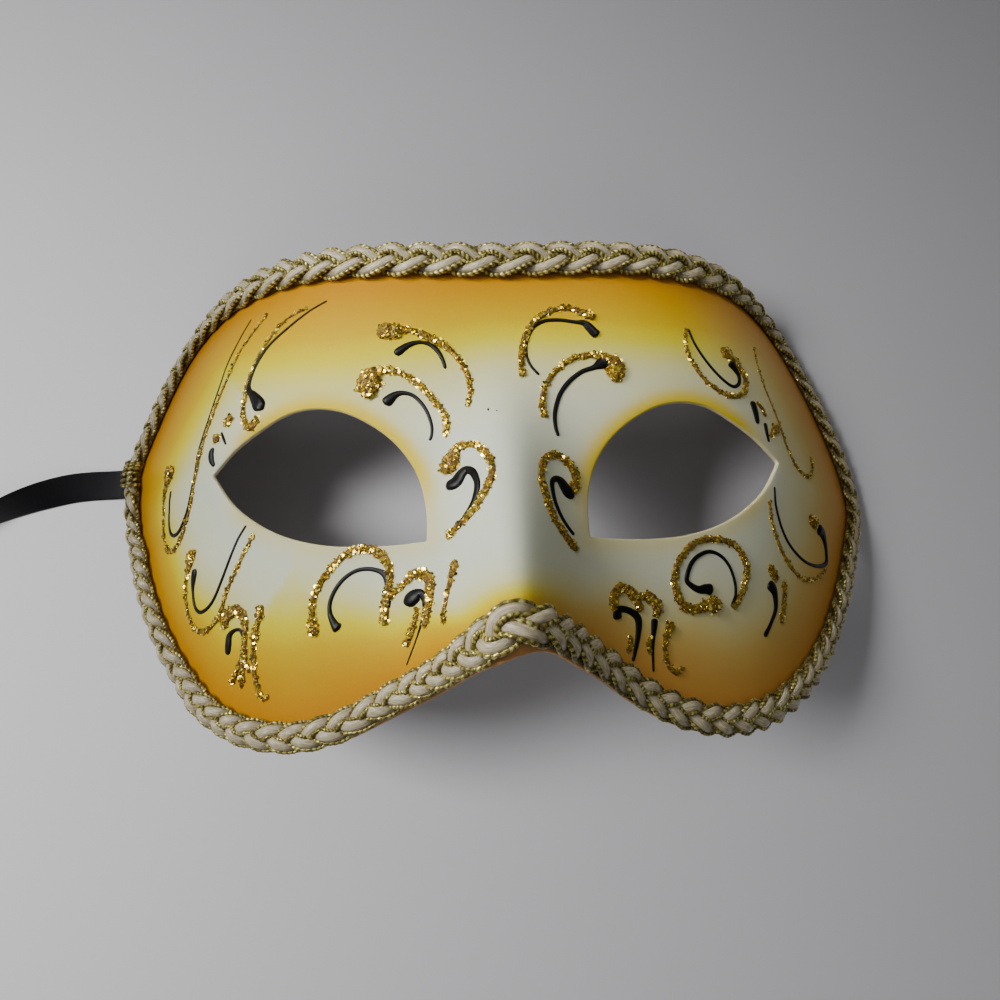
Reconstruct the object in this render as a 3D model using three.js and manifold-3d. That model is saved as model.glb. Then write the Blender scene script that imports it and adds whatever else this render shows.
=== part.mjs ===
// A venetian half mask lying on its back, in millimetres, +Z up.
// The face is laid out on its own plan: x to the viewer's right from the nose line, y up the face
// from the eye line, and z out of the face from the brow. Its group then stands it on the floor.
import * as THREE from 'three';
import { mergeVertices } from 'three/addons/utils/BufferGeometryUtils.js';
import Module from 'manifold-3d';

const wasm = await Module();
wasm.setup();

// Where the face lies in the part's frame
const EYE_LINE_Y = -4.9;
const BROW_HEIGHT = 44.7;

// Form of the face
const HALF_SPAN = 88;
const TEMPLE_DROP = 41.7;
const TEMPLE_POWER = 2.77;
const SWEEP_LENGTH = 50;
const SWEEP_SLOPE = 0.06;
const SWEEP_CURVE = 0.5;
const BROW_FALL = 0.0018;
const CHEEK_RISE = 0.0013;
const NOSE_HEIGHT = 24.5;
const NOSE_ROOT_Y = 34;
const NOSE_LENGTH = 62;
const NOSE_SPREAD = 8.4;
const SHELL_THICKNESS = 1.8;

// The rim stands a little past the braid, and a touch further under the nose
const RIM_MARGIN = 3.4;
const LIP_EXTRA = 0.6;
const LIP_HALF_WIDTH = 16;

// The rim was trimmed lower on the left side of the nose than on the right
const LEFT_DROP = 1.9;
const LEFT_DROP_MIDDLE_X = -12;
const LEFT_DROP_HALF_WIDTH = 12.5;

// Flat plait glued round the rim
const BRAID_HALF_WIDTH = 3.1;
const BRAID_HALF_THICKNESS = 1.3;
const BRAID_LIFT = 0.45;

// Middle line of the braid, right half, from the top of the forehead round to under the nose
const BRAID_LINE_RIGHT = [
  [0, 50.0], [10.5, 50.2], [21, 50.9], [31.5, 51.7], [42, 52.5], [52, 52.8], [61.5, 51.6],
  [69.5, 48.4], [75.4, 42.4], [79.3, 34], [82.3, 25.5], [85.4, 17], [87.6, 8.5], [87.9, 0.5],
  [83.6, -7.2], [79, -15.6], [73.6, -24], [67.2, -31.4], [59.3, -37.7], [50, -41.8],
  [40.3, -43], [31, -41.2], [22.4, -36.9], [14.2, -31.2], [6.6, -26.7], [0, -24.7],
];

// Right eye hole: over the top from its outer corner to its inner corner, then back underneath
const EYE_OVER = [
  [60.2, 8.8], [54.5, 13.3], [48.6, 16.7], [43, 19.1], [37.4, 19.6], [31.8, 18.4], [26.5, 15.6],
  [21.8, 11.8], [18.2, 7.1], [16.1, 2.2], [15.1, -3.3], [15, -8.8],
];
const EYE_UNDER = [
  [15, -8.8], [22, -8.9], [29, -8.7], [36, -7.8], [43, -5.7], [49.5, -2.3], [55.3, 2.4], [60.2, 8.8],
];

// Black satin ribbon: it leaves the rim at the left temple, lies on the floor and turns on edge
// before its coil. Each point is x, y and height above the floor.
const RIBBON_WIDTH = 7;
const RIBBON_THICKNESS = 0.6;
const RIBBON_ROUTE = [
  [-90.6, 13.8, 0.8], [-94, 13.9, 0.5], [-98, 13.8, 0.5], [-102, 13.5, 0.8], [-106, 12.8, 1.2],
  [-110, 11.7, 1.7], [-114, 10.3, 2.3], [-118, 8.6, 2.8], [-122, 6.7, 3.2], [-126, 4.7, 3.4],
  [-130, 2.6, 3.6], [-133.5, 0.7, 3.6], [-137, -1.3, 3.6], [-140, -3, 3.6], [-143, -4.7, 3.6],
];
const TWIST_START = 4;
const TWIST_END = 54;

// Coil of the rest of the ribbon, wound on edge
const COIL_CENTRE = [-166, 31.5];
const COIL_OUTER_TURN = 42;
const COIL_INNER_TURN = 31.5;
const COIL_WALL = 0.6;
const COIL_HEIGHT = 7.2;

// Mesh fineness
const SHELL_CELLS_ACROSS = 44;
const SHELL_CELLS_UP = 30;
const EYE_STEPS = 14;
const BRAID_STEPS = 120;
const BRAID_SIDES = 8;
const RIBBON_STEPS = 20;
const COIL_STEPS = 40;

// Height of the outer surface over the face plan
function faceHeight(x, y) {
  const outward = Math.abs(x) / HALF_SPAN;
  const up = y / SWEEP_LENGTH;
  const sides = TEMPLE_DROP * outward ** TEMPLE_POWER * (1 + SWEEP_SLOPE * up + SWEEP_CURVE * up * up);
  const brow = BROW_FALL * Math.max(y, 0) ** 2;
  const cheek = CHEEK_RISE * Math.max(-y, 0) ** 2;
  return cheek - sides - brow + noseHeight(x, y);
}

// The nose grows from between the brows downwards and flares into the cheeks
function noseHeight(x, y) {
  const down = THREE.MathUtils.clamp((NOSE_ROOT_Y - y) / NOSE_LENGTH, 0, 1);
  const ridge = NOSE_HEIGHT * THREE.MathUtils.smoothstep(down, 0, 1);
  const spread = NOSE_SPREAD * (0.75 + 0.25 * down);
  return ridge / Math.cosh(x / spread);
}

function facePoint(x, y) {
  return new THREE.Vector3(x, y, faceHeight(x, y));
}

function faceNormal(x, y) {
  const step = 0.05;
  const slopeX = (faceHeight(x + step, y) - faceHeight(x - step, y)) / (2 * step);
  const slopeY = (faceHeight(x, y + step) - faceHeight(x, y - step)) / (2 * step);
  return new THREE.Vector3(-slopeX, -slopeY, 1).normalize();
}

function planCurve(points, closed) {
  const corners = points.map(([x, y]) => new THREE.Vector3(x, y, 0));
  return new THREE.CatmullRomCurve3(corners, closed, 'catmullrom', 0.5);
}

// A smooth bump of height 1 on x, as wide on each side of its middle as it is told
function bump(x, middle, halfWidth) {
  const away = THREE.MathUtils.clamp((x - middle) / halfWidth, -1, 1);
  return Math.cos(away * Math.PI / 2) ** 2;
}

function leftDrop(x, y) {
  return y < 0 ? LEFT_DROP * bump(x, LEFT_DROP_MIDDLE_X, LEFT_DROP_HALF_WIDTH) : 0;
}

// The whole braid line, clockwise from the top, made of the right half and its mirror
const leftHalf = BRAID_LINE_RIGHT.slice(1, -1).reverse().map(([x, y]) => [-x, y]);
const wholeLine = [...BRAID_LINE_RIGHT, ...leftHalf].map(([x, y]) => [x, y - leftDrop(x, y)]);
const braidLine = planCurve(wholeLine, true);

// A place on the braid line with its three directions: along the rim, outward and up
function braidFrame(turn) {
  const step = 0.002;
  const wrap = (value) => value - Math.floor(value);
  const here = braidLine.getPoint(wrap(turn));
  const before = braidLine.getPoint(wrap(turn - step));
  const after = braidLine.getPoint(wrap(turn + step));
  const point = facePoint(here.x, here.y);
  const along = facePoint(after.x, after.y).sub(facePoint(before.x, before.y)).normalize();
  const up = faceNormal(here.x, here.y);
  const outward = new THREE.Vector3().crossVectors(up, along).normalize();
  return { point, outward, up };
}

// Edge of the shell, outside the braid
function rimPoint(turn) {
  const { point, outward } = braidFrame(turn);
  const lip = point.y < 0 ? LIP_EXTRA * bump(point.x, 0, LIP_HALF_WIDTH) : 0;
  return point.clone().addScaledVector(outward, RIM_MARGIN + lip);
}

function eachVertex(geometry, move) {
  const places = geometry.getAttribute('position');
  const vertex = new THREE.Vector3();
  for (let i = 0; i < places.count; i += 1) {
    vertex.fromBufferAttribute(places, i);
    const moved = move(vertex);
    places.setXYZ(i, moved.x, moved.y, moved.z);
  }
  return geometry;
}

function weld(geometry) {
  geometry.deleteAttribute('normal');
  geometry.deleteAttribute('uv');
  return mergeVertices(geometry, 0.001);
}

function toSolid(geometry) {
  const welded = weld(geometry);
  const vertProperties = new Float32Array(welded.getAttribute('position').array);
  const triVerts = new Uint32Array(welded.getIndex().array);
  return new wasm.Manifold(new wasm.Mesh({ numProp: 3, vertProperties, triVerts }));
}

function toGeometry(solid) {
  const mesh = solid.getMesh();
  const geometry = new THREE.BufferGeometry();
  geometry.setAttribute('position', new THREE.BufferAttribute(mesh.vertProperties, 3));
  geometry.setIndex(new THREE.BufferAttribute(mesh.triVerts, 1));
  geometry.computeVertexNormals();
  return geometry;
}

// How far round a square's edge a point lies, from the middle of its right side
function turnOnSquare(a, b) {
  if (a >= Math.abs(b)) return b / a / 8;
  if (b >= Math.abs(a)) return 0.25 - a / b / 8;
  if (-a >= Math.abs(b)) return 0.5 + b / a / 8;
  return 0.75 - a / b / 8;
}

// A plate whose square edge is drawn out to the rim and laid over the face
function moulded() {
  const plate = new THREE.BoxGeometry(2, 2, 1, SHELL_CELLS_ACROSS, SHELL_CELLS_UP, 1);
  const middle = new THREE.Vector3(0, 4, 0);
  return eachVertex(plate, ({ x, y, z }) => {
    const reach = Math.max(Math.abs(x), Math.abs(y));
    const turn = reach > 0 ? 0.25 - turnOnSquare(x, y) : 0;
    const plan = rimPoint(turn).sub(middle).multiplyScalar(reach).add(middle);
    const inside = z < 0 ? SHELL_THICKNESS : 0;
    return facePoint(plan.x, plan.y).addScaledVector(faceNormal(plan.x, plan.y), -inside);
  });
}

function eyePlug(side) {
  const over = planCurve(EYE_OVER, false).getPoints(EYE_STEPS * 2).slice(0, -1);
  const under = planCurve(EYE_UNDER, false).getPoints(EYE_STEPS).slice(0, -1);
  const outline = [...over, ...under].map((p) => new THREE.Vector2(side * p.x, p.y));
  const depth = 60;
  const plug = new THREE.ExtrudeGeometry(new THREE.Shape(outline), { depth, bevelEnabled: false });
  return plug.translate(0, 0, -depth / 2);
}

// Everything below the floor is cut away, which leaves the flats that the temples rest on
function floorBlock() {
  const thickness = 10;
  const block = new THREE.BoxGeometry(260, 160, thickness);
  return block.translate(0, 0, -BROW_HEIGHT - thickness / 2);
}

function shellGeometry() {
  return toGeometry(toSolid(moulded())
    .subtract(toSolid(eyePlug(1)))
    .subtract(toSolid(eyePlug(-1)))
    .subtract(toSolid(floorBlock())));
}

// A ring drawn out along the braid line, flat oval in section
function braidGeometry() {
  const ring = new THREE.TorusGeometry(1, 0.4, BRAID_SIDES, BRAID_STEPS);
  eachVertex(ring, ({ x, y, z }) => {
    const turn = 0.25 - Math.atan2(y, x) / (2 * Math.PI);
    const around = Math.atan2(z, Math.hypot(x, y) - 1);
    const { point, outward, up } = braidFrame(turn);
    const lift = BRAID_LIFT + BRAID_HALF_THICKNESS * (1 + Math.sin(around));
    return point.addScaledVector(outward, BRAID_HALF_WIDTH * Math.cos(around)).addScaledVector(up, lift);
  });
  return weld(ring);
}

// Thin octagon across the ribbon
function ribbonSection() {
  const half = RIBBON_WIDTH / 2;
  const thin = RIBBON_THICKNESS / 2;
  const shoulder = half - thin;
  const quarter = [[half, thin / 2], [shoulder, thin]];
  const corners = [
    ...quarter,
    ...quarter.map(([x, y]) => [-x, y]).reverse(),
    ...quarter.map(([x, y]) => [-x, -y]),
    ...quarter.map(([x, y]) => [x, -y]).reverse(),
  ];
  return new THREE.Shape(corners.map(([x, y]) => new THREE.Vector2(x, y)));
}

// The ribbon starts flat on the floor and is turned on edge by the time it reaches the coil
function ribbonGeometry() {
  const places = RIBBON_ROUTE.map(([x, y, height]) => new THREE.Vector3(x, y, height - BROW_HEIGHT));
  const route = new THREE.CatmullRomCurve3(places, false, 'catmullrom', 0.5);
  const length = route.getLength();
  const settings = { depth: 1, steps: RIBBON_STEPS, bevelEnabled: false };
  const ribbon = new THREE.ExtrudeGeometry(ribbonSection(), settings);
  eachVertex(ribbon, ({ x, y, z }) => {
    const point = route.getPointAt(z);
    const along = route.getTangentAt(z);
    const roll = THREE.MathUtils.smoothstep(z * length, TWIST_START, TWIST_END) * Math.PI / 2;
    const across = new THREE.Vector3(-along.y, along.x, 0).normalize();
    const face = new THREE.Vector3().crossVectors(along, across).normalize();
    across.applyAxisAngle(along, roll);
    face.applyAxisAngle(along, roll);
    return point.addScaledVector(across, x).addScaledVector(face, y);
  });
  return weld(ribbon);
}

function coilGeometry() {
  const inner = COIL_INNER_TURN - COIL_WALL;
  const outer = COIL_OUTER_TURN + COIL_WALL;
  const profile = [[inner, 0], [outer, 0], [outer, COIL_HEIGHT], [inner, COIL_HEIGHT], [inner, 0]];
  const ring = new THREE.LatheGeometry(profile.map(([r, z]) => new THREE.Vector2(r, z)), COIL_STEPS);
  ring.rotateX(Math.PI / 2);
  return weld(ring);
}

function piece(name, geometry, color, roughness, metalness) {
  const material = new THREE.MeshStandardMaterial({ color, roughness, metalness });
  const mesh = new THREE.Mesh(geometry, material);
  mesh.name = name;
  return mesh;
}

const coil = piece('tie_ribbon_coil', coilGeometry(), 0x17161a, 0.45, 0);
coil.position.set(COIL_CENTRE[0], COIL_CENTRE[1], -BROW_HEIGHT);

const mask = new THREE.Group();
mask.add(piece('mask_shell', shellGeometry(), 0xd9c878, 0.7, 0));
mask.add(piece('edge_braid', braidGeometry(), 0xb3a67a, 0.5, 0.2));
mask.add(piece('tie_ribbon', ribbonGeometry(), 0x17161a, 0.45, 0));
mask.add(coil);
mask.position.set(0, EYE_LINE_Y, BROW_HEIGHT);

const part = new THREE.Group();
part.add(mask);

export default part;
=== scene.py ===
import functools
import math
import random

import bmesh
import bpy
from mathutils import Matrix, Vector, kdtree, noise


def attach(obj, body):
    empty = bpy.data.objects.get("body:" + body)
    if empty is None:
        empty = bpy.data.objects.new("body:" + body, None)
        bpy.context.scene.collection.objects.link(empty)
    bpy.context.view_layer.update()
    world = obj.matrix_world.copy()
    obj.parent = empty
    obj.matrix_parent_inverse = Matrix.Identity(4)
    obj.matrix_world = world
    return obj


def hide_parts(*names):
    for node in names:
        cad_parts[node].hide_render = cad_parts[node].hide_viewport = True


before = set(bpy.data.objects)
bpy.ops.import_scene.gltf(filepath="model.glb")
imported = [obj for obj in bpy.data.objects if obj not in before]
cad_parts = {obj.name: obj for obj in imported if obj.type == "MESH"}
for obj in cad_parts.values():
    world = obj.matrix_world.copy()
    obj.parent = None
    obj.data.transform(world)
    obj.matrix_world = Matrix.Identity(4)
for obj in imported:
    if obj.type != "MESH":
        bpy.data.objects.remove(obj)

# A venetian half mask lying on its back. Shapes are worked out in millimetres on the plan of
# the face: x to the viewer's right of the nose line, y up the face from the eye line, and z out
# of the face from the brow. Everything is then put in the part's own frame, in metres.
MM = 0.001
EYE_LINE_Y = -4.9
BROW_HEIGHT = 44.7

# Form of the face
HALF_SPAN = 88
TEMPLE_DROP = 41.7
TEMPLE_POWER = 2.77
SWEEP_LENGTH = 50
SWEEP_SLOPE = 0.06
SWEEP_CURVE = 0.5
BROW_FALL = 0.0018
CHEEK_RISE = 0.0013
NOSE_HEIGHT = 24.5
NOSE_ROOT_Y = 34
NOSE_LENGTH = 62
NOSE_SPREAD = 8.4
SHELL_THICKNESS = 1.8
EDGE_ROUNDING = 0.4

# The pulp gets thinner towards the rim and the eye holes
EDGE_SHARE = 0.55
EDGE_TAPER = 5

# The rim stands a little past the middle of the braid, and furthest under the nose
RIM_MARGINS = [
    (0.00, 3.4), (0.30, 3.2), (0.36, 2.7), (0.45, 2.3), (0.48, 3.0), (0.502, 4.9), (0.535, 2.8), (0.60, 2.4),
    (0.70, 3.2), (1.00, 3.4),
]

# The rim was trimmed lower on the left side of the nose than on the right
LEFT_DROP = 1.3
LEFT_DROP_MIDDLE_X = -12
LEFT_DROP_HALF_WIDTH = 12.5

# The left temple is a little narrower than the right one: how much, by height on the plan
LEFT_TEMPLE_TRIM = [(-40, 0), (-31, 1.5), (-20.7, 1.9), (-9.7, 2.3), (-3, 3.3), (2, 3.0), (9, 1.6), (15, 0)]

# Middle line of the braid, right half, from the top of the forehead round to under the nose
BRAID_LINE_RIGHT = [
    (0, 50.0), (10.5, 50.2), (21, 50.9), (31.5, 51.7), (42, 52.5), (52, 52.8), (61.5, 51.6),
    (69.5, 48.4), (75.4, 42.4), (79.3, 34), (82.3, 25.5), (85.4, 17), (87.6, 8.5), (87.9, 0.5),
    (83.6, -7.2), (79, -15.6), (73.6, -24), (67.2, -31.4), (59.3, -37.7), (50, -41.8),
    (40.3, -43), (31, -41.2), (22.4, -36.9), (14.2, -31.2), (6.6, -26.7), (0, -24.7),
]

# Right eye hole: over the top from its outer corner, then back underneath
EYE_OVER = [
    (60.2, 8.8), (54.5, 13.3), (48.6, 16.7), (43, 19.1), (37.4, 19.6), (31.8, 18.4), (26.5, 15.6),
    (21.8, 11.8), (18.2, 7.1), (16.1, 2.2), (15.1, -3.3), (15, -8.8),
]
EYE_UNDER = [
    (15, -8.8), (22, -8.9), (29, -8.7), (36, -7.8), (43, -5.7), (49.5, -2.3), (55.3, 2.4), (60.2, 8.8),
]

# How far the orange and yellow spray reaches in from the braid, at shares of the way round it,
# clockwise from the top of the forehead
SPRAY_REACH = [
    (0.00, 15.5), (0.03, 16), (0.06, 16.5), (0.10, 18), (0.16, 17), (0.22, 15), (0.26, 15), (0.30, 13),
    (0.34, 12.5), (0.38, 14), (0.42, 15), (0.46, 10), (0.48, 6.5), (0.50, 4.6), (0.52, 5), (0.54, 9.5),
    (0.58, 18.5), (0.62, 18.5), (0.66, 12), (0.70, 9), (0.74, 8.5), (0.78, 12.5), (0.84, 17.5), (0.90, 19.5),
    (0.94, 20), (0.97, 18), (1.00, 15.5),
]

# The yellow halo round the eye holes is weaker below them and stops short of the temples
HALO_REACH = 2.6
HALO_START = 0.5
HALO_BELOW = 0.35
HALO_RISES_Y = (-6, 6)
HALO_STOPS_X = (50, 59)

# Black strokes, each from end to end, as x, y and half width
BLACK_STROKES = [
    # forehead, left of the nose line
    [(-20.9, 29.7, 0.7), (-20, 30.5, 0.9), (-18.2, 31.7, 0.65), (-16, 32.2, 0.45), (-14, 31.6, 0.45),
     (-12.5, 30.2, 0.5), (-11.5, 28.2, 0.4), (-10.9, 26, 0.35)],
    [(-23, 19.1, 1.25), (-21.9, 20.2, 1.1), (-20.8, 21, 0.75), (-19.3, 21.3, 0.5), (-17.5, 20.7, 0.42),
     (-15.9, 19.1, 0.4), (-14.6, 16.8, 0.36), (-13.8, 14, 0.33), (-13.8, 12, 0.3), (-14.2, 10.8, 0.3)],
    # forehead, right of it
    [(20.1, 33.3, 1.0), (19.4, 34, 1.05), (18.4, 35.2, 0.95), (17.4, 36.1, 0.7), (15.6, 36.3, 0.45),
     (12.2, 36.7, 0.42), (9.2, 36.4, 0.4), (6.9, 34.9, 0.36), (5.5, 32, 0.33), (5.2, 29, 0.3),
     (5.9, 26.3, 0.3), (7.5, 24.1, 0.3)],
    [(22.4, 27, 1.1), (20.9, 27.3, 1.45), (19.9, 26.8, 1.1), (18.6, 26.1, 0.6), (16.1, 25.1, 0.5),
     (13.4, 22.9, 0.5), (11.3, 19.9, 0.48), (10, 16, 0.45), (9.8, 12.9, 0.4), (10.2, 10.7, 0.33)],
    # either side of the nose
    [(-11, 1.7, 1.15), (-10.1, 1.3, 1.2), (-9.2, 1.7, 1.15), (-8.4, 2.9, 1.0), (-7.4, 3.6, 0.85),
     (-6.4, 3, 0.75), (-5.8, 1.6, 0.62), (-5.6, 0.2, 0.55), (-5.9, -1.6, 0.5), (-6.6, -3.4, 0.42),
     (-7.8, -5.2, 0.38), (-9.2, -6.9, 0.35)],
    [(12.2, -0.6, 0.9), (11.3, -0.8, 1.2), (10.5, 0.2, 1.05), (9.8, 1.3, 0.85), (8.9, 1.7, 0.65),
     (8.1, 1.1, 0.5), (7.9, -0.3, 0.42), (8.2, -2.9, 0.36), (9.2, -5.7, 0.34), (10.5, -7.7, 0.32),
     (11.5, -8.9, 0.32)],
    # left cheek
    [(-31.5, -24, 1.25), (-32.4, -23, 0.8), (-33.3, -21, 0.5), (-33.3, -18.8, 0.42), (-32.2, -16.4, 0.42),
     (-30.5, -14.5, 0.4), (-28.3, -13.3, 0.4), (-26, -13.1, 0.42), (-23.8, -13.7, 0.5),
     (-22.5, -14.8, 0.75), (-22.2, -16.6, 0.6), (-22, -18.6, 0.5), (-22.1, -20.6, 0.35)],
    [(-18.2, -20.6, 1.0), (-17.9, -19.4, 1.35), (-17, -18.6, 1.25), (-16, -18.4, 0.8), (-15.4, -19.4, 0.55),
     (-15.3, -21, 0.45), (-15.7, -22.6, 0.3), (-16.6, -25.4, 0.16), (-17.7, -28.2, 0.13),
     (-18.8, -30.8, 0.12)],
    [(-54.8, -28, 0.6), (-54.7, -26, 0.75), (-54.5, -24.3, 0.65), (-53.4, -23.3, 0.4), (-52, -23.3, 0.35),
     (-51.3, -24.6, 0.3)],
    # right cheek
    [(19.2, -24, 1.0), (19.1, -22.9, 0.85), (20, -22.1, 0.65), (21.6, -22.4, 0.65), (23, -23.3, 0.75),
     (23.4, -24.5, 0.7), (23.1, -26.6, 0.55), (22.3, -29.4, 0.4), (21.5, -31.5, 0.3)],
    [(26.8, -23.9, 0.7), (26.5, -25.6, 0.6), (26.1, -27.6, 0.4), (25.8, -30, 0.28), (25.6, -33.6, 0.2)],
    [(43.9, -22.2, 0.55), (44.9, -19.8, 0.35), (45.1, -17.4, 0.32), (44.3, -14.4, 0.32), (42.6, -12.2, 0.36),
     (40.1, -11.2, 0.4), (37.6, -11.9, 0.42), (35.6, -13.6, 0.45), (34.3, -16.6, 0.5), (35.3, -17.9, 0.6),
     (36.8, -18.6, 0.75), (38.4, -18.5, 1.0), (39.8, -18.7, 1.3)],
    [(53.4, -17.4, 1.1), (54.4, -18.2, 1.1), (55, -19.8, 0.7), (54.8, -22.6, 0.5), (53.2, -25.4, 0.4),
     (51.2, -28, 0.55)],
    # right temple
    [(50.6, 30.9, 1.3), (51.6, 29.6, 0.9), (52.5, 27.8, 0.55), (52, 25.8, 0.42), (50, 24.9, 0.4),
     (47, 26.7, 0.36), (44.1, 29.9, 0.33), (41.9, 33.6, 0.3), (40.8, 37.2, 0.28)],
    [(55.1, 22.3, 0.85), (55.5, 19.8, 0.8), (55.6, 17, 0.55)],
    [(57.9, 17.6, 0.5), (57.9, 15.4, 0.45), (58.1, 13.2, 0.3)],
    [(70.9, -4.6, 1.5), (72.4, -5.6, 1.2), (73.2, -7.6, 0.7), (73.4, -10, 0.5), (72.8, -12.4, 0.55),
     (69.2, -13.2, 0.42), (64.8, -12.3, 0.36), (61, -9.5, 0.33), (58.8, -5.8, 0.3), (57.7, -0.9, 0.28),
     (57.9, 3.2, 0.25)],
    # left temple
    [(-35.3, 44.1, 0.2), (-39.5, 42.2, 0.25), (-44, 39.3, 0.3), (-48.3, 36, 0.34), (-51, 32, 0.38),
     (-52.2, 28.5, 0.42), (-52.2, 26.4, 0.6), (-51.2, 25, 0.95), (-50.2, 23.6, 1.3), (-49.5, 22.2, 1.5),
     (-49.6, 20.9, 1.1)],
    [(-60.2, 14.9, 0.45), (-60.6, 13.5, 0.7), (-60.4, 12, 0.65), (-59.7, 10.8, 0.4)],
    [(-58.3, 18, 0.2), (-57.6, 16.4, 0.3), (-56.9, 14.9, 0.2)],
    [(-53.9, 45, 0.14), (-56.4, 40.6, 0.16), (-58.9, 35, 0.16), (-60.2, 30, 0.16), (-61.5, 25, 0.18),
     (-62.9, 20, 0.18), (-64.2, 15, 0.2), (-65.1, 10, 0.22), (-66.2, 5.4, 0.25), (-67.4, 1.8, 0.32),
     (-69, -1.1, 0.42), (-70.7, -2.1, 0.45), (-72.1, -1.4, 0.35), (-72.8, 1.2, 0.25), (-72.8, 5, 0.22),
     (-72.3, 8, 0.2)],
    [(-51.4, -2.6, 0.24), (-53.3, -5.4, 0.26), (-55.1, -9.4, 0.28), (-56.7, -13.1, 0.3),
     (-58.6, -16.9, 0.34), (-60.4, -18.7, 0.38), (-62.3, -19.2, 0.4), (-63.6, -17.8, 0.34),
     (-64.2, -15, 0.34), (-64.2, -12.8, 0.6), (-64, -11.2, 0.7), (-63.9, -10.2, 0.5)],
    # two specks on the bridge of the nose
    [(-3, 16.3, 0.16), (-2.95, 15.7, 0.2)],
    [(-1.55, 15.6, 0.1), (-1.25, 15.5, 0.1)],
]

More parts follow.
